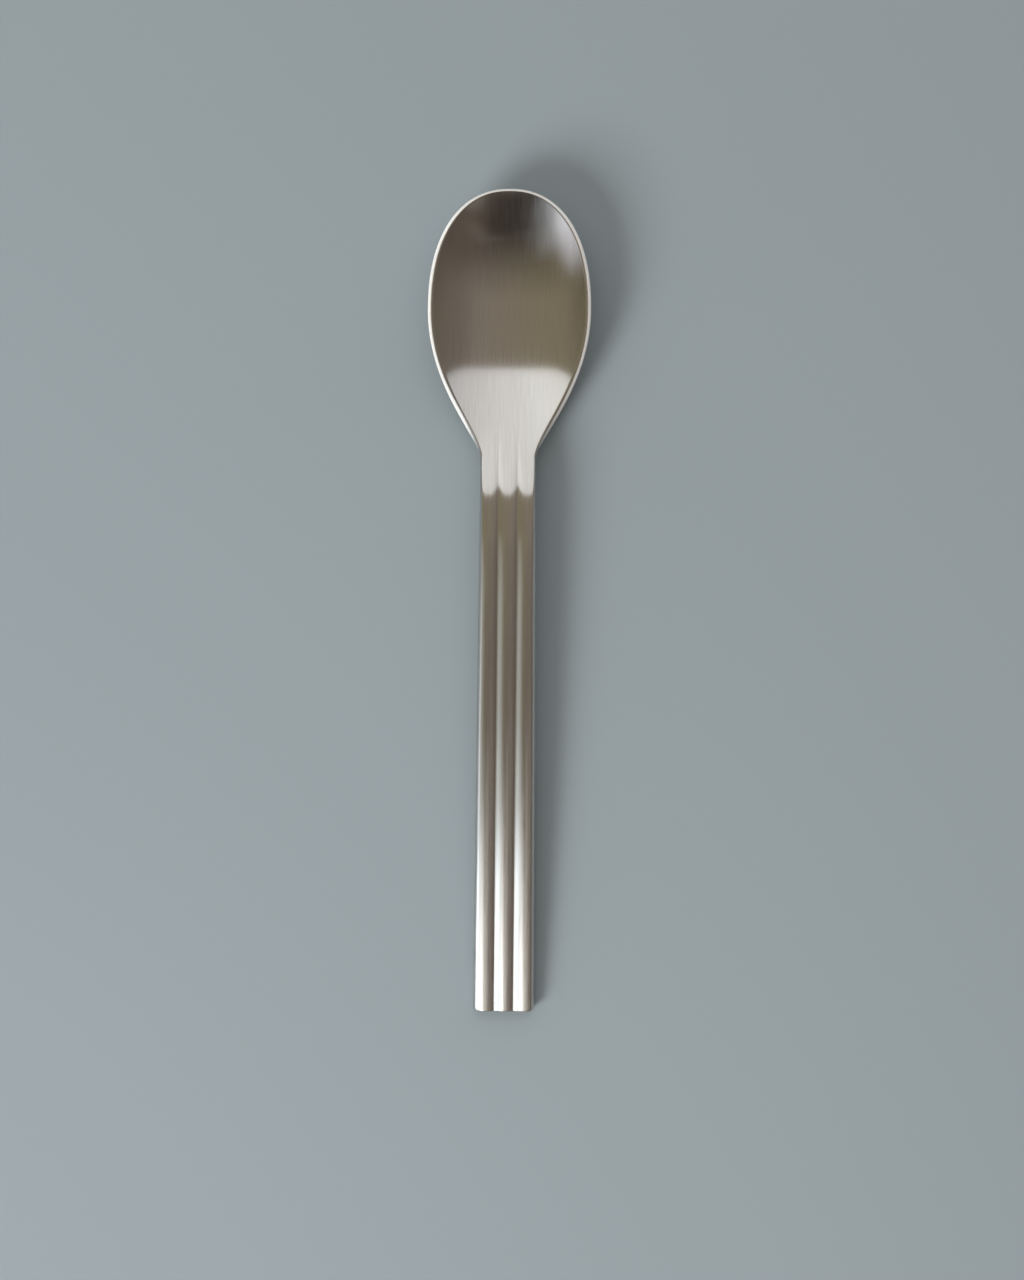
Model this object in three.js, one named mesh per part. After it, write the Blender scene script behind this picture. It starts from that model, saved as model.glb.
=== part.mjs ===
// A tablespoon: one pressing of stainless steel, with a deep oval bowl and three ribs coined along its handle.
// Millimetres, +Z up. It lies on a table with the bowl open upwards and the bowl's tip towards +Y.
// The origin is on the table, under the middle of the length.
import * as THREE from "three";

const { clamp, degToRad, lerp, smoothstep } = THREE.MathUtils;

// Sizes of the outline, seen from above. "Tip to" sizes run from the bowl's tip towards the handle.
const overallLength = 200;
const bowlWidth = 39.4;
const tipToWidest = 29.3;
const tipRoundness = 2.25; // exponent of the oval: 2 is an ellipse, more is squarer
const tipToNeck = 65;
const shoulderFullness = 18.7; // length over which the shoulder still leaves the bowl straight
const neckSweep = 5.4; // length over which the shoulder sweeps into the handle
const neckWidth = 13.5;
const endWidth = 15;
const endCornerRadius = 1.2;

// Sizes of the side view.
const bowlDepth = 9; // from the rim down to the deepest place inside, at the widest place
const bowlHollow = 2.5; // exponent of the bowl's section: more is flatter below and steeper at the wall
const bowlFloorRun = 26; // length over which the floor of the bowl stays low towards the neck
const archHeight = 10; // top of the handle over the table, at its highest
const archPastNeck = 21;
const archRun = 21; // length over which the arch stays level, to either side of its top
const endSlope = 4.5; // degrees by which the handle still falls at its end
const endRun = 40; // length over which the handle keeps that slope

// Sizes of the metal.
const bowlWall = 1.4;
const handleThickness = 4; // over the crests of the ribs
const fullThicknessPastNeck = 11;
const thinningLength = 36; // length over which the handle's metal thins into the bowl's wall
const footFlat = 0.2; // depth that the bowl's underside is flattened by, where it rests
const rimRound = 0.35; // how far the edge of the bowl's rim bulges
const handleEdgeRound = 1; // how far the rounded sides of the handle bulge
const handleEdgeStart = 38; // degrees of their rounding that are cut off by the ribs, so that they begin steep
const endEdgeRound = 0.35; // how far the edge of its end bulges

// Sizes of the ribs.
const ribDepth = 0.9;
const middleRibWidth = 4.7;
const ribArc = 0.45; // how much of a half ellipse a rib's section takes up: 1 is all of it
const ribStartFlat = 0.6; // share of a rib that is still flat where the grooves start, as narrow points
const ribsBeforeNeck = 13; // where the grooves first show in the bowl
const ribsFullPastNeck = 30; // where they reach their whole depth

// Steps of the mesh.
const tipSteps = 18;
const shoulderSteps = 24;
const handleSteps = 14;
const cornerSteps = 4;
const stepsPerRib = 6;
const edgeSteps = 12;
const handleStepGrowth = 1.6; // steps lengthen from the neck to the end

const ribs = 3;
const stepsAcross = ribs * stepsPerRib;
const tipToArch = tipToNeck + archPastNeck;
const ribsStart = tipToNeck - ribsBeforeNeck;
const ribsFull = tipToNeck + ribsFullPastNeck;
const thicknessFull = tipToNeck + fullThicknessPastNeck;
const thinningStart = thicknessFull - thinningLength;
const endCornerStart = overallLength - endCornerRadius;
const lastStation = overallLength - endEdgeRound;

// One side of the bowl's outline from its tip to its widest place, as (half-width, distance from the tip).
class TipCurve extends THREE.Curve {
  getPoint(t, target = new THREE.Vector2()) {
    const angle = (t * Math.PI) / 2;
    const power = 2 / tipRoundness;
    const across = (bowlWidth / 2) * Math.sin(angle) ** power;
    const along = tipToWidest * (1 - Math.max(Math.cos(angle), 0) ** power);
    return target.set(across, along);
  }
}

// The rest of that side: shoulder, straight handle and the rounded corner of its end.
function handleSide() {
  const halfBowl = bowlWidth / 2;
  const halfNeck = neckWidth / 2;
  const halfEnd = endWidth / 2;
  const shoulder = new THREE.CubicBezierCurve(
    new THREE.Vector2(halfBowl, tipToWidest),
    new THREE.Vector2(halfBowl, tipToWidest + shoulderFullness),
    new THREE.Vector2(halfNeck, tipToNeck - neckSweep),
    new THREE.Vector2(halfNeck, tipToNeck),
  );
  const straight = new THREE.LineCurve(
    new THREE.Vector2(halfNeck, tipToNeck),
    new THREE.Vector2(halfEnd, endCornerStart),
  );
  const round = new THREE.EllipseCurve(
    halfEnd - endCornerRadius,
    endCornerStart,
    endCornerRadius,
    endCornerRadius,
    0,
    Math.PI / 2,
  );
  return { shoulder, straight, round };
}

// Height of a side-view curve, drawn as (distance from the tip, height), at a distance from the tip.
function heightOn(curve, along) {
  let low = 0;
  let high = 1;
  for (let step = 0; step < 40; step += 1) {
    const middle = (low + high) / 2;
    if (curve.getPoint(middle).x < along) low = middle;
    else high = middle;
  }
  return curve.getPoint((low + high) / 2).y;
}

// The top of the middle rib, in line with the floor of the bowl: a rise to the arch and a fall to the end.
const rise = new THREE.CubicBezierCurve(
  new THREE.Vector2(tipToWidest, bowlWall),
  new THREE.Vector2(tipToWidest + bowlFloorRun, bowlWall),
  new THREE.Vector2(tipToArch - archRun, archHeight),
  new THREE.Vector2(tipToArch, archHeight),
);
const fall = new THREE.CubicBezierCurve(
  new THREE.Vector2(tipToArch, archHeight),
  new THREE.Vector2(tipToArch + archRun, archHeight),
  new THREE.Vector2(lastStation - endRun, handleThickness + endRun * Math.tan(degToRad(endSlope))),
  new THREE.Vector2(lastStation, handleThickness),
);

function floorHeight(along) {
  if (along <= tipToWidest) return bowlWall;
  return along < tipToArch ? heightOn(rise, along) : heightOn(fall, along);
}

// How far the edge stands above the floor line before the ribs are coined. The dishing runs out at the neck.
function dishDepth(along) {
  return bowlDepth * (1 - smoothstep(along, tipToWidest, tipToNeck));
}

// How far the ribs are coined in, from 0 in the bowl to 1 on the handle.
function coining(along) {
  return smoothstep(along, ribsStart, ribsFull);
}

// How far the metal has thickened, from 0 in the bowl to 1 on the handle.
function thickening(along) {
  return smoothstep(along, thinningStart, thicknessFull);
}

// Drop below the crests, across the handle. Each rib is flat with bent edges where it starts in the bowl and an
// arc further on. The outer ribs run on into the rounded sides.
function ribDrop(across, halfWidth, along) {
  const groove = middleRibWidth / 2;
  const outside = halfWidth + handleEdgeRound;
  const isMiddle = Math.abs(across) <= groove;
  const crest = isMiddle ? 0 : (groove + outside) / 2;
  const halfRib = isMiddle ? groove : (outside - groove) / 2;
  const share = Math.min(Math.abs(Math.abs(across) - crest) / halfRib, 1);
  const flat = ribStartFlat * (1 - coining(along));
  const bend = Math.max(share - flat, 0) / (1 - flat);
  const arc = (1 - Math.sqrt(1 - ribArc * bend ** 2)) / (1 - Math.sqrt(1 - ribArc));
  return coining(along) * ribDepth * arc;
}

// How far a place lies from the middle of the bowl towards its rim, 0 to 1. Share is -1 to 1 across the outline.
function towardsRim(along, tipInset, share) {
  const ahead = clamp((tipToWidest - along) / (tipToWidest - tipInset), 0, 1) ** tipRoundness;
  return (ahead + (1 - ahead) * Math.abs(share) ** tipRoundness) ** (1 / tipRoundness);
}

// The edge at one place of the outline: the wall's lean there, the metal's thickness and the edge of each face.
function edgeAt(outlinePoint, tangent) {
  const across = outlinePoint.x;
  const along = outlinePoint.y;
  const outX = tangent.y;
  const outAlong = -tangent.x;
  const dish = dishDepth(along);
  const reach = along < tipToWidest ? outX ** 2 / (bowlWidth / 2) + outAlong ** 2 / tipToWidest : 1 / across;
  const lean = Math.atan(bowlHollow * dish * reach);
  const bulge = lerp(rimRound, handleEdgeRound, coining(along));
  const halfWidth = across - outX * bulge;
  const edgeDrop = ribDrop(halfWidth, halfWidth, along);
  const thick = lerp(bowlWall, handleThickness - edgeDrop, thickening(along));
  const sideways = (thick / 2) * Math.sin(lean);
  const bulgeAlong = along > endCornerStart ? endEdgeRound : bulge;
  const start = degToRad(handleEdgeStart) * coining(along) * outX;
  const overhang = Math.hypot(sideways, bulge * Math.cos(lean));
  const overhangAlong = Math.hypot(sideways, bulgeAlong * Math.cos(lean));
  const bulges = { bulge, bulgeAlong, start };
  return { across, along, outX, outAlong, lean, thick, sideways, overhang, overhangAlong, ...bulges };
}

// The places of the outline from the tip to the end, on the +X side.
function outlineEdges() {
  const { shoulder, straight, round } = handleSide();
  const stretches = [
    { curve: new TipCurve(), steps: tipSteps, growth: 1 },
    { curve: shoulder, steps: shoulderSteps, growth: 1 },
    { curve: straight, steps: handleSteps, growth: handleStepGrowth },
    { curve: round, steps: cornerSteps, growth: 1 },
  ];
  const edges = [edgeAt(new THREE.Vector2(0, 0), new THREE.Vector2(1, 0))];
  for (const { curve, steps, growth } of stretches) {
    for (let step = 1; step <= steps; step += 1) {
      const t = (step / steps) ** growth;
      edges.push(edgeAt(curve.getPoint(t), curve.getTangent(t)));
    }
  }
  return edges;
}

// Places across one station, from -1 to 1: even in the bowl, and moved onto the ribs and grooves of the handle.
function sharesAcross(along, halfWidth) {
  const groove = middleRibWidth / 2 / halfWidth;
  const ends = [-1, -groove, groove, 1];
  const onRibs = smoothstep(along, tipToWidest, ribsStart);
  const shares = [];
  for (let step = 0; step <= stepsAcross; step += 1) {
    const even = (2 * step) / stepsAcross - 1;
    const rib = Math.min(Math.floor(step / stepsPerRib), ribs - 1);
    const ribbed = lerp(ends[rib], ends[rib + 1], step / stepsPerRib - rib);
    shares.push(lerp(even, ribbed, onRibs));
  }
  return shares;
}

// One row of points across the upper face, between the inner edges of the rim.
function upperRow(edge, tipInset) {
  const halfWidth = Math.max(edge.across - edge.outX * (edge.overhang + edge.sideways), 0);
  const along = edge.along - edge.outAlong * (edge.overhangAlong + edge.sideways);
  const floor = floorHeight(along);
  const dish = dishDepth(along);
  return sharesAcross(along, halfWidth || 1).map((share) => {
    const across = share * halfWidth;
    const raised = dish * towardsRim(along, tipInset, share) ** bowlHollow;
    const height = floor + raised - ribDrop(across, halfWidth, along);
    return new THREE.Vector3(across, overallLength / 2 - along, height);
  });
}

// One row across the underside, between the outer edges of the rim. The bowl's foot is flattened on the table.
function underRow(edge, tipInset, rimHeight) {
  const halfWidth = Math.max(edge.across - edge.outX * (edge.overhang - edge.sideways), 0);
  const along = edge.along - edge.outAlong * (edge.overhangAlong - edge.sideways);
  const back = floorHeight(along) - lerp(bowlWall + footFlat, handleThickness, thickening(along));
  const rise = rimHeight - edge.thick * Math.cos(edge.lean) - back;
  return sharesAcross(along, halfWidth || 1).map((share) => {
    const height = back + rise * towardsRim(along, tipInset, share) ** bowlHollow;
    return new THREE.Vector3(share * halfWidth, overallLength / 2 - along, Math.max(height, 0));
  });
}

// The points all round the outline on one face: down the +X side, across the end, and back up the -X side.
function rowsBorder(rows) {
  const last = rows[rows.length - 1];
  const right = rows.map((row) => row[stepsAcross]);
  const end = last.slice(1, stepsAcross).reverse();
  const left = rows.slice(1).map((row) => row[0]);
  return [...right, ...end, ...left.reverse()];
}

// The edges that those border points belong to, each with its side of the spoon.
function edgesAround(edges) {
  const last = edges[edges.length - 1];
  const right = edges.map((edge) => ({ edge, side: 1 }));
  const end = new Array(stepsAcross - 1).fill({ edge: last, side: 1 });
  const left = edges.slice(1).map((edge) => ({ edge, side: -1 }));
  return [...right, ...end, ...left.reverse()];
}

// A point of the rounded edge, at a share of the way round it from the upper face to the underside.
function edgePoint(top, under, { edge, side }, share) {
  const angle = lerp(edge.start, Math.PI, share);
  const above = angle < Math.PI / 2;
  const first = Math.sin(edge.start);
  const out = above ? (Math.sin(angle) - first) / (1 - first) : Math.sin(angle);
  const level = above ? Math.cos(angle) / Math.cos(edge.start) : Math.cos(angle);
  const flat = Math.cos(edge.lean);
  const outward = new THREE.Vector3(
    side * edge.outX * edge.bulge * flat,
    -edge.outAlong * edge.bulgeAlong * flat,
    edge.bulge * Math.sin(edge.lean),
  );
  return top.clone().lerp(under, (1 - level) / 2).addScaledVector(outward, out);
}

// Triangles between neighbouring rows of point numbers.
function band(first, second, flip) {
  const triangles = [];
  for (let step = 0; step + 1 < first.length; step += 1) {
    const corners = [first[step], second[step], second[step + 1], first[step + 1]];
    const halves = [
      [corners[0], corners[1], corners[2]],
      [corners[0], corners[2], corners[3]],
    ];
    for (const [a, b, c] of halves) {
      if (a === b || b === c || c === a) continue;
      triangles.push(...(flip ? [a, c, b] : [a, b, c]));
    }
  }
  return triangles;
}

function spoonGeometry() {
  const edges = outlineEdges();
  const tip = edges[0];
  const upperInset = tip.overhang + tip.sideways;
  const underInset = tip.overhang - tip.sideways;
  const upperRows = edges.map((edge) => upperRow(edge, upperInset));
  const underRows = edges.map((edge, i) => underRow(edge, underInset, upperRows[i][0].z));

  const points = [];
  const number = (point) => points.push(point) - 1;
  const numberRow = (row, i) => {
    if (i > 0) return row.map(number);
    return new Array(row.length).fill(number(row[0]));
  };
  const upper = upperRows.map(numberRow);
  const under = underRows.map(numberRow);
  const triangles = [];
  for (let i = 0; i + 1 < edges.length; i += 1) {
    triangles.push(...band(upper[i], upper[i + 1], false));
    triangles.push(...band(under[i], under[i + 1], true));
  }

  const upperBorder = rowsBorder(upperRows);
  const underBorder = rowsBorder(underRows);
  const around = edgesAround(edges);
  const loops = [rowsBorder(upper)];
  for (let step = 1; step < edgeSteps; step += 1) {
    const share = step / edgeSteps;
    loops.push(upperBorder.map((top, i) => number(edgePoint(top, underBorder[i], around[i], share))));
  }
  loops.push(rowsBorder(under));
  for (let step = 0; step < edgeSteps; step += 1) {
    const closed = (loop) => [...loop, loop[0]];
    triangles.push(...band(closed(loops[step]), closed(loops[step + 1]), true));
  }

  const geometry = new THREE.BufferGeometry().setFromPoints(points).setIndex(triangles);
  geometry.computeVertexNormals();
  return geometry;
}

const brushedSteel = new THREE.MeshStandardMaterial({ color: 0xc9c6c0, roughness: 0.28, metalness: 1 });

function makeSpoon() {
  const spoon = new THREE.Mesh(spoonGeometry(), brushedSteel);
  spoon.name = "spoon";
  return spoon;
}

const tablespoon = new THREE.Group();
tablespoon.add(makeSpoon());

export default tablespoon;
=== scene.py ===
import math

import bpy
import numpy as np
from mathutils import Matrix, Vector


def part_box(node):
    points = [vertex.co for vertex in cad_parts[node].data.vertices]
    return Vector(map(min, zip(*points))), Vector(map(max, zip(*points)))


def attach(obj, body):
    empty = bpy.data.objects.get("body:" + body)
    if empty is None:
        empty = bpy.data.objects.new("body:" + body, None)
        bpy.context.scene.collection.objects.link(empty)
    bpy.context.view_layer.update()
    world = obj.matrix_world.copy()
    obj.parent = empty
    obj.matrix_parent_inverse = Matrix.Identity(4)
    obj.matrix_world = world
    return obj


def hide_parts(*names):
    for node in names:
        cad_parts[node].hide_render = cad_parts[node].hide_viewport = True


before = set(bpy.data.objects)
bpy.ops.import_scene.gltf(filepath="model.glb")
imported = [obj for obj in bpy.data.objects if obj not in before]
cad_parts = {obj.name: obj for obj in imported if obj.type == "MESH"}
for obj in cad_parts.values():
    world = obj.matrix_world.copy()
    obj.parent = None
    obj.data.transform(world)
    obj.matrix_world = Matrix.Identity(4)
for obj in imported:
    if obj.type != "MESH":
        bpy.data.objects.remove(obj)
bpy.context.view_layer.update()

# The spoon
# One pressing of stainless steel: a blank is cut from sheet, rolled thin at the bowl, pressed hollow and bent
# into its arch, and three ribs are coined along the handle. It is brushed lengthwise, and the edge of the bowl
# is ground matt and painted near-white there, a painted highlight for the bright reflection on the edge.

low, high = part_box("spoon")
LENGTH = high.y - low.y
BOWL_WIDTH = high.x - low.x
ARCH_HEIGHT = 0.010
TIP_TO_WIDEST = 0.0293
TIP_ROUNDNESS = 2.25
TIP_TO_NECK = 0.065
SHOULDER_FULLNESS = 0.0187
NECK_SWEEP = 0.0054
NECK_WIDTH = 0.0135
END_WIDTH = 0.015
END_CORNER_RADIUS = 0.0012
BOWL_DEPTH = 0.009
BOWL_HOLLOW = 2.5
BOWL_FLOOR_RUN = 0.026
TIP_TO_ARCH = TIP_TO_NECK + 0.021
ARCH_RUN = 0.021
END_SLOPE = math.radians(4.5)
END_RUN = 0.040
BOWL_WALL = 0.0014
HANDLE_THICKNESS = 0.004
RIM_ROUND = 0.00035
HANDLE_EDGE_ROUND = 0.001
HANDLE_EDGE_START = math.radians(38)
END_EDGE_ROUND = 0.00035
FOOT_FLAT = 0.0002
RIB_DEPTH = 0.0009
MIDDLE_RIB_WIDTH = 0.0047
RIB_ARC = 0.45
RIB_START_FLAT = 0.6
GROOVE_RADIUS = 0.0002
RIBS_START = TIP_TO_NECK - 0.013
RIBS_FULL = TIP_TO_NECK + 0.030
THICKNESS_FULL = TIP_TO_NECK + 0.011
THINNING_START = THICKNESS_FULL - 0.036
END_CORNER_START = LENGTH - END_CORNER_RADIUS
LAST_STATION = LENGTH - END_EDGE_ROUND
# The ground edge carries a painted highlight: these set where it is painted near-white, weaker at the tip.
GROUND_HIGHLIGHT_AT_TIP = 0.4
GROUND_HIGHLIGHT_FULL = 0.012
GROUND_HIGHLIGHT_END = TIP_TO_NECK + 0.001
GROUND_HIGHLIGHT_FADE = 0.011
STEPS_ACROSS = 96
EDGE_STEPS = 12


def smooth_step(value, start, end):
    share = np.clip((value - start) / (end - start), 0, 1)
    return share * share * (3 - 2 * share)


def bezier(corners, t):
    a, b, c, d = (np.array(corner, float) for corner in corners)
    t = t[:, None]
    return (1 - t) ** 3 * a + 3 * t * (1 - t) ** 2 * b + 3 * t * t * (1 - t) * c + t ** 3 * d


def outline():
    """One side of the spoon from above, from the tip to the end: (half-width, distance from the tip)."""
    angle = np.linspace(0, math.pi / 2, 91)
    power = 2 / TIP_ROUNDNESS
    tip_across = BOWL_WIDTH / 2 * np.sin(angle) ** power
    tip_along = TIP_TO_WIDEST * (1 - np.clip(np.cos(angle), 0, 1) ** power)
    tip = np.stack([tip_across, tip_along], axis=1)
    shoulder = bezier([(BOWL_WIDTH / 2, TIP_TO_WIDEST), (BOWL_WIDTH / 2, TIP_TO_WIDEST + SHOULDER_FULLNESS),
                       (NECK_WIDTH / 2, TIP_TO_NECK - NECK_SWEEP), (NECK_WIDTH / 2, TIP_TO_NECK)],
                      np.linspace(0, 1, 121))
    straight = np.linspace((NECK_WIDTH / 2, TIP_TO_NECK), (END_WIDTH / 2, END_CORNER_START), 151)
    turn = np.linspace(0, math.pi / 2, 13)
    round_end = np.stack([END_WIDTH / 2 - END_CORNER_RADIUS * (1 - np.cos(turn)),
                          END_CORNER_START + END_CORNER_RADIUS * np.sin(turn)], axis=1)
    return np.concatenate([tip, shoulder[1:], straight[1:], round_end[1:]])


def floor_height(along):
    """Height of the bowl's floor and, further on, of the crest of the middle rib."""
    t = np.linspace(0, 1, 2001)
    rise = bezier([(TIP_TO_WIDEST, BOWL_WALL), (TIP_TO_WIDEST + BOWL_FLOOR_RUN, BOWL_WALL),
                   (TIP_TO_ARCH - ARCH_RUN, ARCH_HEIGHT), (TIP_TO_ARCH, ARCH_HEIGHT)], t)
    end_top = HANDLE_THICKNESS + END_RUN * math.tan(END_SLOPE)
    fall = bezier([(TIP_TO_ARCH, ARCH_HEIGHT), (TIP_TO_ARCH + ARCH_RUN, ARCH_HEIGHT),
                   (LAST_STATION - END_RUN, end_top), (LAST_STATION, HANDLE_THICKNESS)], t)
    line = np.concatenate([rise, fall[1:]])
    return np.interp(along, line[:, 0], line[:, 1])


def dish_depth(along):
    return BOWL_DEPTH * (1 - smooth_step(along, TIP_TO_WIDEST, TIP_TO_NECK))


def thickening(along):
    return smooth_step(along, THINNING_START, THICKNESS_FULL)


def towards_rim(along, tip_inset, share):
    """0 in the middle of the bowl to 1 at its rim, for stations (rows) and shares across (columns)."""
    ahead = np.clip((TIP_TO_WIDEST - along) / (TIP_TO_WIDEST - tip_inset), 0, 1)[:, None] ** TIP_ROUNDNESS
    return (ahead + (1 - ahead) * np.abs(share) ** TIP_ROUNDNESS) ** (1 / TIP_ROUNDNESS)


def shares_across(along, half_width):
    """Places across each station, -1 to 1: even in the bowl, and moved onto the ribs along the handle."""
    even = np.linspace(-1, 1, STEPS_ACROSS + 1)
    groove = MIDDLE_RIB_WIDTH / 2 / np.maximum(half_width, MIDDLE_RIB_WIDTH)
    ribbed = np.array([np.interp(even, [-1, -1 / 3, 1 / 3, 1], [-1, -g, g, 1]) for g in groove])
    on_ribs = smooth_step(along, TIP_TO_WIDEST, RIBS_START)[:, None]
    return even + (ribbed - even) * on_ribs


def rib_drop_at_edge(half_width, coining):
    """How far an outer rib has fallen below its crest where the handle's rounded side begins."""
    half_width = np.maximum(half_width, NECK_WIDTH / 3)
    groove = MIDDLE_RIB_WIDTH / 2
    outside = half_width + HANDLE_EDGE_ROUND
    share = (2 * half_width - groove - outside) / (outside - groove)
    flat = RIB_START_FLAT * (1 - coining)
    bend = np.maximum(np.abs(share) - flat, 0) / (1 - flat)
    return coining * RIB_DEPTH * (1 - np.sqrt(1 - RIB_ARC * bend ** 2)) / (1 - math.sqrt(1 - RIB_ARC))


def blank_mesh():
    """The pressed blank before its ribs: upper face, underside and the rounded edge between them."""
    edge = outline()
    across, along = edge.T
    slope = np.gradient(edge, axis=0)
    slope[0] = (1, 0)
    slope[-1] = (-1, 0)
    slope /= np.linalg.norm(slope, axis=1)[:, None]
    out_x, out_along = slope[:, 1], -slope[:, 0]
    in_bowl = along < TIP_TO_WIDEST
    reach = np.where(in_bowl, out_x ** 2 / (BOWL_WIDTH / 2) + out_along ** 2 / TIP_TO_WIDEST,
                     1 / np.maximum(across, NECK_WIDTH / 4))
    lean = np.arctan(BOWL_HOLLOW * dish_depth(along) * reach)
    coining = smooth_step(along, RIBS_START, RIBS_FULL)
    bulge = RIM_ROUND + (HANDLE_EDGE_ROUND - RIM_ROUND) * coining
    coined = rib_drop_at_edge(across - out_x * bulge, coining)
    thick = BOWL_WALL + (HANDLE_THICKNESS - coined - BOWL_WALL) * thickening(along)
    sideways = thick / 2 * np.sin(lean)
    bulge_along = np.where(along > END_CORNER_START, END_EDGE_ROUND, bulge)
    overhang = np.hypot(sideways, bulge * np.cos(lean))
    overhang_along = np.hypot(sideways, bulge_along * np.cos(lean))

    def face(lean_inset, height_at):
        half_width = np.maximum(across - out_x * (overhang + lean_inset), 0)
        place = along - out_along * (overhang_along + lean_inset)
        shares = shares_across(place, half_width)
        rim = towards_rim(place, overhang[0] + lean_inset[0], shares) ** BOWL_HOLLOW
        spread = np.broadcast_to(place[:, None], shares.shape)
        height = height_at(place[:, None], rim)
        points = np.stack([shares * half_width[:, None], LENGTH / 2 - spread, height], axis=2)
        return points, spread, np.broadcast_to(half_width[:, None], shares.shape)

    def upper_height(place, rim):
        return floor_height(place) + dish_depth(place) * rim

    upper, upper_along, upper_half = face(sideways, upper_height)
    rim_height = upper[:, :1, 2]

    def under_height(place, rim):
        metal = BOWL_WALL + FOOT_FLAT
        back = floor_height(place) - metal - (HANDLE_THICKNESS - metal) * thickening(place)
        edge_height = rim_height - (coined + thick * np.cos(lean))[:, None]
        return np.maximum(back + (edge_height - back) * rim, 0)

    under, under_along, under_half = face(-sideways, under_height)

    def border(rows):
        end = rows[-1, 1:-1][::-1]
        return np.concatenate([rows[:, -1], end, rows[1:, 0][::-1]])

    def around(values, end_value):
        return np.concatenate([values, np.full(STEPS_ACROSS - 1, end_value), values[1:][::-1]])

    side = np.concatenate([np.ones(len(edge) + STEPS_ACROSS - 1), -np.ones(len(edge) - 1)])
    outward = np.stack([side * around(out_x * bulge * np.cos(lean), 0),
                        -around(out_along * bulge_along * np.cos(lean), END_EDGE_ROUND),
                        around(np.sin(lean) * bulge, 0)], axis=1)
    top, bottom = border(upper), border(under)
    top_along, top_half = border(upper_along), border(upper_half)
    start = around(HANDLE_EDGE_START * coining * out_x, 0)
    loops = []
    for step in range(1, EDGE_STEPS):
        turn = start + (math.pi - start) * step / EDGE_STEPS
        above = turn < math.pi / 2
        out = np.where(above, (np.sin(turn) - np.sin(start)) / (1 - np.sin(start)), np.sin(turn))
        down = (1 - np.where(above, np.cos(turn) / np.cos(start), np.cos(turn))) / 2
        loops.append((top + (bottom - top) * down[:, None] + outward * out[:, None], down))

    count = upper.shape[0]
    wide = STEPS_ACROSS + 1
    points = [upper[0, :1], upper[1:].reshape(-1, 3), under[0, :1], under[1:].reshape(-1, 3)]
    numbers = np.arange((count - 1) * wide).reshape(count - 1, wide)
    upper_numbers = np.concatenate([np.zeros((1, wide), int), numbers + 1])
    under_numbers = upper_numbers + 1 + (count - 1) * wide
    first = 2 + 2 * (count - 1) * wide
    loop_numbers = [border(upper_numbers)]
    for place, _ in loops:
        loop_numbers.append(np.arange(first, first + len(place)))
        points.append(place)
        first += len(place)
    loop_numbers.append(border(under_numbers))

    def attribute_of(upper_values, under_values, loop_values):
        whole = [upper_values[0, :1], upper_values[1:].ravel(), under_values[0, :1], under_values[1:].ravel()]
        return np.concatenate(whole + loop_values)

    raised = attribute_of(np.ones(upper.shape[:2]), np.zeros(upper.shape[:2]),
                          [1 - down for _, down in loops])
    station = attribute_of(upper_along, under_along, [top_along] * len(loops))
    outside = attribute_of(upper_half, under_half, [top_half] * len(loops)) + HANDLE_EDGE_ROUND
    from_middle = attribute_of(np.abs(upper[:, :, 0]), np.abs(under[:, :, 0]),
                               [np.abs(top[:, 0])] * len(loops))

    def ground_highlight_share(place):
        """How far the edge is ground and painted as a highlight: less at the tip, and no more at the neck."""
        from_tip = GROUND_HIGHLIGHT_AT_TIP + (1 - GROUND_HIGHLIGHT_AT_TIP) * smooth_step(place, 0.001, GROUND_HIGHLIGHT_FULL)
        return from_tip * (1 - smooth_step(place, GROUND_HIGHLIGHT_END - GROUND_HIGHLIGHT_FADE, GROUND_HIGHLIGHT_END))

    # Mask of the ground edge and of its painted near-white highlight, on the upper part of the rounded edge.
    ground_and_highlight = attribute_of(np.zeros(upper.shape[:2]), np.zeros(under.shape[:2]),
                          [ground_highlight_share(top_along) * smooth_step(down, 0.04, 0.36) for _, down in loops])

    faces = []

    def band(first_row, second_row, flip):
        for a, b, c, d in zip(first_row[:-1], second_row[:-1], second_row[1:], first_row[1:]):
            corners = list(dict.fromkeys((int(a), int(b), int(c), int(d))))
            if len(corners) > 2:
                faces.append(corners[::-1] if flip else corners)

    for row in range(count - 1):
        band(upper_numbers[row], upper_numbers[row + 1], False)
        band(under_numbers[row], under_numbers[row + 1], True)
    for above, below in zip(loop_numbers[:-1], loop_numbers[1:]):
        band(np.append(above, above[0]), np.append(below, below[0]), True)

    mesh = bpy.data.meshes.new("spoon_blank")
    mesh.from_pydata(np.concatenate(points).tolist(), [], faces)
    for name, values in (("raised", raised), ("along", station), ("from_middle", from_middle),
                         ("outside", outside), ("ground_and_highlight", ground_and_highlight)):
        mesh.attributes.new(name, "FLOAT", "POINT").data.foreach_set("value", values.astype(np.float32))
    brushing = mesh.uv_layers.new(name="brushing")
    for loop, corner in zip(mesh.loops, brushing.uv):
        place = mesh.vertices[loop.vertex_index].co
        corner.vector = (place.x / BOWL_WIDTH + 0.5, place.y / LENGTH + 0.5)
    return mesh


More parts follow.
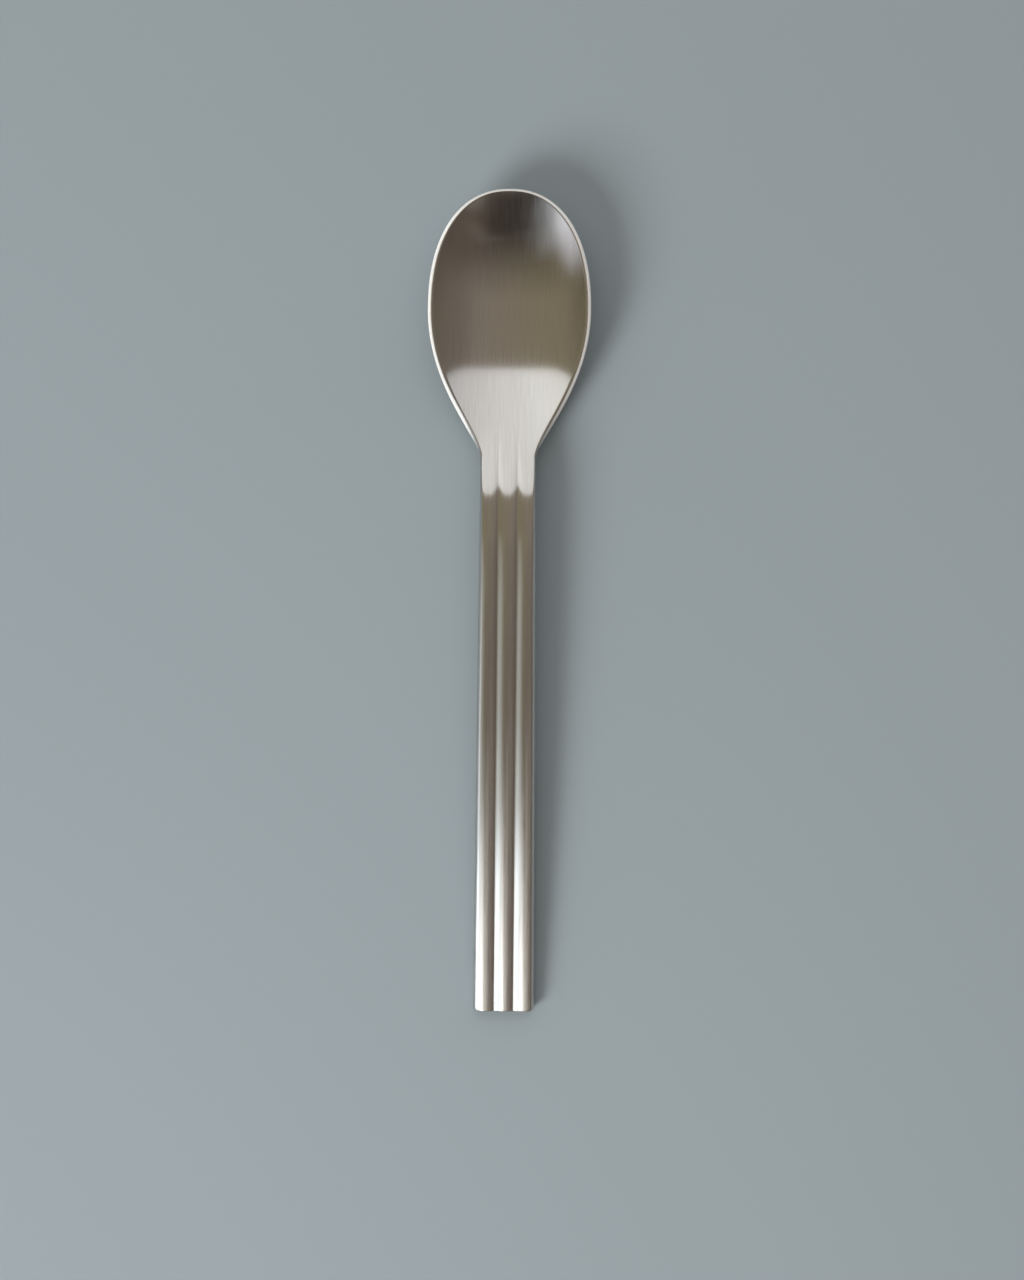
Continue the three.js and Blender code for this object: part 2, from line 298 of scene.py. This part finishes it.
def coined_ribs_tree(material):
    """Geometry Nodes that press the ribs into the handle: bent flats at the bowl, arcs further on."""
    tree = bpy.data.node_groups.new("coined_ribs", "GeometryNodeTree")
    sockets = tree.interface
    sockets.new_socket("Geometry", in_out="INPUT", socket_type="NodeSocketGeometry")
    for name in ("Rib depth", "Middle rib width", "Rib arc", "Start flat", "Ribs start", "Ribs full",
                 "Groove radius"):
        sockets.new_socket(name, in_out="INPUT", socket_type="NodeSocketFloat")
    sockets.new_socket("Geometry", in_out="OUTPUT", socket_type="NodeSocketGeometry")
    nodes, links = tree.nodes, tree.links
    given = nodes.new("NodeGroupInput").outputs

    def value_of(socket, source):
        if isinstance(source, (int, float)):
            socket.default_value = source
        else:
            links.new(source, socket)

    def math_node(operation, *sources):
        node = nodes.new("ShaderNodeMath")
        node.operation = operation
        for socket, source in zip(node.inputs, sources):
            value_of(socket, source)
        return node.outputs[0]

    def named(attribute):
        node = nodes.new("GeometryNodeInputNamedAttribute")
        node.data_type = "FLOAT"
        node.inputs["Name"].default_value = attribute
        return node.outputs["Attribute"]

    def choose(condition, yes, no):
        node = nodes.new("GeometryNodeSwitch")
        node.input_type = "FLOAT"
        links.new(condition, node.inputs["Switch"])
        value_of(node.inputs["True"], yes)
        value_of(node.inputs["False"], no)
        return node.outputs[0]

    across = named("from_middle")
    outside = named("outside")
    groove = math_node("DIVIDE", given["Middle rib width"], 2.0)
    in_middle = math_node("LESS_THAN", across, groove)
    crest = choose(in_middle, 0.0, math_node("DIVIDE", math_node("ADD", groove, outside), 2.0))
    outer_half = math_node("DIVIDE", math_node("SUBTRACT", outside, groove), 2.0)
    half_rib = choose(in_middle, groove, outer_half)
    share = math_node("DIVIDE", math_node("SUBTRACT", across, crest), half_rib)
    share = math_node("MINIMUM", math_node("ABSOLUTE", share), 1.0)

    coining = nodes.new("ShaderNodeMapRange")
    coining.interpolation_type = "SMOOTHSTEP"
    for name, source in (("Value", named("along")), ("From Min", given["Ribs start"]),
                         ("From Max", given["Ribs full"])):
        links.new(source, coining.inputs[name])
    flat = math_node("MULTIPLY", given["Start flat"], math_node("SUBTRACT", 1.0, coining.outputs[0]))
    past_flat = math_node("MAXIMUM", math_node("SUBTRACT", share, flat), 0.0)
    bend = math_node("DIVIDE", past_flat, math_node("SUBTRACT", 1.0, flat))

    def arc_drop(squared):
        return math_node("SUBTRACT", 1.0, math_node("SQRT", math_node("SUBTRACT", 1.0, squared)))

    curved = arc_drop(math_node("MULTIPLY", given["Rib arc"], math_node("POWER", bend, 2.0)))
    drop = math_node("MULTIPLY", given["Rib depth"], math_node("DIVIDE", curved, arc_drop(given["Rib arc"])))
    drop = math_node("SMOOTH_MIN", drop, given["Rib depth"], given["Groove radius"])
    sunk = math_node("MULTIPLY", math_node("MULTIPLY", drop, coining.outputs[0]), named("raised"))
    offset = nodes.new("ShaderNodeCombineXYZ")
    links.new(math_node("MULTIPLY", sunk, -1.0), offset.inputs["Z"])

    press = nodes.new("GeometryNodeSetPosition")
    links.new(given["Geometry"], press.inputs["Geometry"])
    links.new(offset.outputs[0], press.inputs["Offset"])
    smooth = nodes.new("GeometryNodeSetShadeSmooth")
    links.new(press.outputs[0], smooth.inputs[0])
    realize = nodes.new("GeometryNodeRealizeInstances")
    links.new(smooth.outputs[0], realize.inputs[0])
    finish = nodes.new("GeometryNodeSetMaterial")
    finish.inputs["Material"].default_value = material
    links.new(realize.outputs[0], finish.inputs["Geometry"])
    links.new(finish.outputs[0], nodes.new("NodeGroupOutput").inputs[0])
    return tree


def brushed_steel():
    """Satin stainless steel: fine lines along the spoon, uneven gloss, and the bowl's edge ground matt with a
    painted highlight.
    """
    material = bpy.data.materials.new("brushed_steel")
    material.use_nodes = True
    nodes, links = material.node_tree.nodes, material.node_tree.links
    steel = nodes["Principled BSDF"]
    place = nodes.new("ShaderNodeTexCoord").outputs["Object"]

    def noise(lines_per_metre, detail):
        turned = nodes.new("ShaderNodeMapping")
        turned.inputs["Scale"].default_value = lines_per_metre
        links.new(place, turned.inputs["Vector"])
        pattern = nodes.new("ShaderNodeTexNoise")
        pattern.inputs["Scale"].default_value = 1.0
        pattern.inputs["Detail"].default_value = detail
        links.new(turned.outputs[0], pattern.inputs["Vector"])
        return pattern.outputs["Fac"]

    def ramp(source, start, end, low_value, high_value):
        node = nodes.new("ShaderNodeMapRange")
        links.new(source, node.inputs["Value"])
        wanted = {"From Min": start, "From Max": end, "To Min": low_value, "To Max": high_value}
        for name, value in wanted.items():
            node.inputs[name].default_value = value
        return node.outputs[0]

    def mix(kind, factor, first, second):
        node = nodes.new("ShaderNodeMix")
        node.data_type = kind
        links.new(factor, node.inputs["Factor"])
        at = {"FLOAT": (2, 3), "VECTOR": (4, 5), "RGBA": (6, 7)}[kind]
        for index, source in zip(at, (first, second)):
            if isinstance(source, (float, tuple)):
                node.inputs[index].default_value = source
            else:
                links.new(source, node.inputs[index])
        return next(socket for socket in node.outputs if socket.enabled)

    lines = noise((3000, 120, 0), 3.0)
    edge = nodes.new("ShaderNodeAttribute")
    edge.attribute_name = "ground_and_highlight"
    ground_and_highlight = edge.outputs["Fac"]
    brushed = mix("RGBA", lines, (0.57, 0.55, 0.52, 1.0), (0.71, 0.69, 0.66, 1.0))
    # The ground edge is mixed to near-white: a painted highlight for the bright reflection a level ground edge
    # shows.
    links.new(mix("RGBA", ground_and_highlight, brushed, (0.92, 0.91, 0.89, 1.0)), steel.inputs["Base Color"])
    gloss = ramp(lines, 0.3, 0.7, 0.15, 0.21)
    links.new(mix("FLOAT", ground_and_highlight, gloss, 0.5), steel.inputs["Roughness"])
    links.new(ramp(ground_and_highlight, 0, 1, 1.0, 0.2), steel.inputs["Metallic"])
    links.new(ramp(ground_and_highlight, 0, 1, 1.0, 0.0), steel.inputs["Anisotropic"])
    scratch = nodes.new("ShaderNodeBump")
    scratch.inputs["Strength"].default_value = 0.07
    scratch.inputs["Distance"].default_value = 0.00002
    links.new(lines, scratch.inputs["Height"])
    # The ground edge is nearly level, so its normal is turned half-way up.
    up = nodes.new("ShaderNodeVectorTransform")
    up.vector_type = "NORMAL"
    up.convert_from = "OBJECT"
    up.convert_to = "WORLD"
    up.inputs[0].default_value = (0, 0, 1)
    levelled = mix("VECTOR", ramp(ground_and_highlight, 0, 1, 0, 0.5), scratch.outputs[0], up.outputs[0])
    flat_rim = nodes.new("ShaderNodeVectorMath")
    flat_rim.operation = "NORMALIZE"
    links.new(levelled, flat_rim.inputs[0])
    links.new(flat_rim.outputs[0], steel.inputs["Normal"])
    tangent = nodes.new("ShaderNodeTangent")
    tangent.direction_type = "UV_MAP"
    tangent.uv_map = "brushing"
    links.new(tangent.outputs[0], steel.inputs["Tangent"])
    return material


def make_spoon():
    blank = bpy.data.objects.new("spoon_blank", blank_mesh())
    bpy.context.scene.collection.objects.link(blank)
    steel = brushed_steel()
    coining = blank.modifiers.new("coined_ribs", "NODES")
    coining.node_group = coined_ribs_tree(steel)
    wanted = {"Rib depth": RIB_DEPTH, "Middle rib width": MIDDLE_RIB_WIDTH, "Rib arc": RIB_ARC,
              "Start flat": RIB_START_FLAT, "Ribs start": RIBS_START, "Ribs full": RIBS_FULL,
              "Groove radius": GROOVE_RADIUS}
    for item in coining.node_group.interface.items_tree:
        if item.name in wanted:
            coining[item.identifier] = wanted[item.name]
    shaped = bpy.data.meshes.new_from_object(blank.evaluated_get(bpy.context.evaluated_depsgraph_get()))
    bpy.data.objects.remove(blank)
    shaped.name = "spoon"
    piece = bpy.data.objects.new("tablespoon", shaped)
    bpy.context.scene.collection.objects.link(piece)
    return piece


tablespoon = make_spoon()
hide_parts("spoon")
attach(tablespoon, "root")


# The table top
# A plain pale matt surface that the spoon lies on. It is not part of the spoon.

def make_table():
    half = 3.0
    mesh = bpy.data.meshes.new("table_top")
    corners = [(-half, -half, 0), (half, -half, 0), (half, half, 0), (-half, half, 0)]
    mesh.from_pydata(corners, [], [(0, 1, 2, 3)])
    table = bpy.data.objects.new("table_top", mesh)
    bpy.context.scene.collection.objects.link(table)
    material = bpy.data.materials.new("pale_table")
    material.use_nodes = True
    matt = material.node_tree.nodes["Principled BSDF"]
    matt.inputs["Base Color"].default_value = (0.282, 0.327, 0.35, 1)
    matt.inputs["Roughness"].default_value = 0.9
    mesh.materials.append(material)


make_table()


# The light
# Soft studio light. A round-topped bright wall stands beyond the bowl, and gridded softboxes around the handle
# show in the metal alone. The key casts the shadow, a softbox overhead lifts it, and dim walls close the room.

def make_softbox(name, place, aim, size, radiance, colour, shape="RECTANGLE", spread=180):
    """An area light at a place, facing a point. The spread, in degrees, is that of the grid on its front."""
    lamp = bpy.data.lights.new(name, "AREA")
    lamp.shape = shape
    lamp.size, lamp.size_y = size
    lamp.spread = math.radians(spread)
    lamp.color = colour
    half = math.radians(spread) / 2
    grid_share = 1 - half / math.tan(half)
    face = size[0] * size[1] * (math.pi / 4 if shape == "ELLIPSE" else 1)
    lamp.energy = radiance * math.pi * face * grid_share
    box = bpy.data.objects.new(name, lamp)
    box.location = place
    box.rotation_euler = (Vector(place) - Vector(aim)).to_track_quat("Z", "Y").to_euler()
    box.visible_camera = False
    bpy.context.scene.collection.objects.link(box)
    return box


def fade_along(box, side, stops):
    """Dims a softbox along its X or Y side: pairs of a place, 0 to 1, and the share of its light there."""
    lamp = box.data
    lamp.use_nodes = True
    nodes, links = lamp.node_tree.nodes, lamp.node_tree.links
    place = nodes.new("ShaderNodeSeparateXYZ")
    links.new(nodes.new("ShaderNodeNewGeometry").outputs["Parametric"], place.inputs[0])
    shares = nodes.new("ShaderNodeValToRGB")
    ramp = shares.color_ramp.elements
    while len(ramp) < len(stops):
        ramp.new(1.0)
    for element, (at, share) in zip(ramp, stops):
        element.position = at
        element.color = (share, share, share, 1)
    links.new(place.outputs[side], shares.inputs["Fac"])
    links.new(shares.outputs["Color"], nodes["Emission"].inputs["Strength"])


def on_dome(aim, azimuth, zenith, distance):
    """A place above a point. Azimuth turns from beyond the bowl towards the right, in degrees."""
    turn, tilt = math.radians(azimuth), math.radians(zenith)
    return Vector(aim) + distance * Vector((math.sin(turn) * math.sin(tilt), math.cos(turn) * math.sin(tilt),
                                            math.cos(tilt)))


wall = make_softbox("bright_wall", (0, 1.25, 0), (0, 0, 0), (7.6, 5.66), 0.756, (0.885, 0.934, 1.0),
                    "ELLIPSE")
fade_along(wall, "X", [(0.33, 0.83), (0.5, 1.0), (0.63, 1.22)])
beside_handle = (0, -0.17, 0.008)
strip = make_softbox("strip_beside_handle", on_dome(beside_handle, 265, 66, 0.16), beside_handle,
                     (0.44, 0.24), 2.55, (0.83, 0.93, 1.0), spread=100)
fade_along(strip, "X", [(0, 0), (0.09, 0.15), (0.2, 0.19), (0.28, 0.38), (0.34, 0.92), (0.38, 1.0),
                        (0.45, 1.0), (0.95, 0)])
strip.visible_diffuse = False
over_end = (0, -0.10, 0.004)
card = make_softbox("card_over_end", on_dome(over_end, 215, 27, 0.2), over_end, (0.24, 0.24), 4.3,
                    (1.0, 1.0, 1.0), spread=34)
fade_along(card, "Y", [(0.45, 1.0), (0.65, 0.5), (0.85, 0)])
card.visible_diffuse = False
fill = make_softbox("fill_over_end", on_dome(over_end, 150, 24, 0.2), over_end, (0.2, 0.2), 0.8,
                    (1.0, 0.97, 0.92), spread=28)
fill.visible_diffuse = False
mid_handle = (0, -0.08, 0.006)
side_fill = make_softbox("fill_right_of_handle", on_dome(mid_handle, 115, 46, 0.25), mid_handle,
                         (0.2, 0.2), 0.14, (1.0, 0.94, 0.88), spread=44)
side_fill.visible_diffuse = False
key = make_softbox("key", on_dome((0, 0, 0), 226, 60, 1.5), (0, 0, 0), (0.6, 0.6), 20.5, (1.0, 1.0, 1.0))
key.visible_glossy = False
overhead = make_softbox("overhead", (0, 0, 2.0), (0, 0, 0), (3.0, 3.0), 0.4, (1.0, 1.0, 1.0))
overhead.visible_glossy = False


def make_walls():
    """Dim walls that show in the metal, darker beyond the handle's end. The camera sees a plain backdrop."""
    world = bpy.data.worlds.new("studio_walls")
    bpy.context.scene.world = world
    world.use_nodes = True
    nodes, links = world.node_tree.nodes, world.node_tree.links
    back = nodes["Background"]
    looking = nodes.new("ShaderNodeTexCoord").outputs["Generated"]
    direction = nodes.new("ShaderNodeSeparateXYZ")
    links.new(looking, direction.inputs[0])

    def between(source, start, end, easing="SMOOTHSTEP"):
        node = nodes.new("ShaderNodeMapRange")
        node.interpolation_type = easing
        links.new(source, node.inputs["Value"])
        node.inputs["From Min"].default_value = start
        node.inputs["From Max"].default_value = end
        return node.outputs[0]

    def towards(azimuth, zenith):
        node = nodes.new("ShaderNodeVectorMath")
        node.operation = "DOT_PRODUCT"
        links.new(looking, node.inputs[0])
        node.inputs[1].default_value = on_dome((0, 0, 0), azimuth, zenith, 1)
        return node.outputs["Value"]

    def blend(factor, first, second):
        node = nodes.new("ShaderNodeMix")
        node.data_type = "RGBA"
        links.new(factor, node.inputs["Factor"])
        for socket, colour in (("A", first), ("B", second)):
            if isinstance(colour, tuple):
                node.inputs[socket].default_value = (*colour, 1)
            else:
                links.new(colour, node.inputs[socket])
        return node.outputs["Result"]

    walls = blend(between(direction.outputs["X"], -0.8, 0.6), (0.28, 0.245, 0.165), (0.28, 0.24, 0.205))
    walls = blend(between(direction.outputs["Y"], 0.1, -0.62, "LINEAR"), walls, (0.05, 0.04, 0.033))
    walls = blend(between(towards(180, 94), 0.8, 0.95), walls, (0.26, 0.225, 0.19))
    walls = blend(between(towards(86, 85), 0.6, 0.95), walls, (0.2, 0.172, 0.148))
    walls = blend(between(towards(124, 74), 0.78, 0.96), walls, (0.14, 0.112, 0.093))
    walls = blend(between(towards(144, 86), 0.915, 0.98), walls, (0.36, 0.34, 0.31))
    walls = blend(between(towards(246, 94), 0.86, 0.97), walls, (1.15, 1.17, 1.28))
    seen = nodes.new("ShaderNodeLightPath").outputs["Is Camera Ray"]
    links.new(blend(seen, walls, (0.3, 0.34, 0.36)), back.inputs["Color"])


make_walls()


# The camera
# It looks straight down on the middle of the spoon, turned a little so that the spoon leans as photographed.

CAMERA_HEIGHT = 0.4385
CAMERA_PLACE = Vector((0.0013, -0.0089, CAMERA_HEIGHT))
CAMERA_ROLL = math.radians(0.5)


def make_camera():
    lens = bpy.data.cameras.new("camera")
    lens.lens = 50
    lens.sensor_width = 36
    camera = bpy.data.objects.new("camera", lens)
    camera.matrix_world = Matrix.Translation(CAMERA_PLACE) @ Matrix.Rotation(CAMERA_ROLL, 4, "Z")
    bpy.context.scene.collection.objects.link(camera)
    bpy.context.scene.camera = camera


make_camera()
bpy.context.scene.view_settings.view_transform = "Standard"
